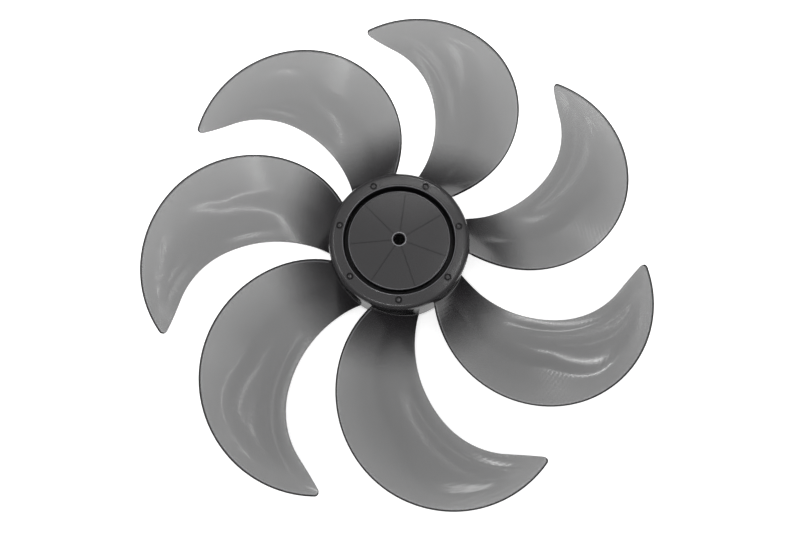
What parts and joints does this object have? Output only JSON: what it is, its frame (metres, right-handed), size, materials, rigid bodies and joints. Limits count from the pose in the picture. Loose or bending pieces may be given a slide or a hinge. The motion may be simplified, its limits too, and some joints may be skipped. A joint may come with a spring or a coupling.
{
  "type": "pedestal fan blade",
  "caption": "Moulded pedestal fan blade: forward-swept sickle blades, twisted and hollowed, round an open hub cup with a ring groove, bored boss and drive-pin slot.",
  "frame": {"origin": "on the shaft's axis, at the seat of the drive pin in the rear of the boss", "axes": "+Z along the shaft towards the front of the fan; +X and +Y across, with the middle of the first blade's root 7.1 degrees round from +X"},
  "size_m": [0.3837, 0.3825, 0.042],
  "materials": {
    "smoke_plastic": "glossy, smoke-grey and see-through, as moulded"
  },
  "bodies": {
    "root": {"fan_blade": "smoke_plastic"}
  },
  "joints": []
}
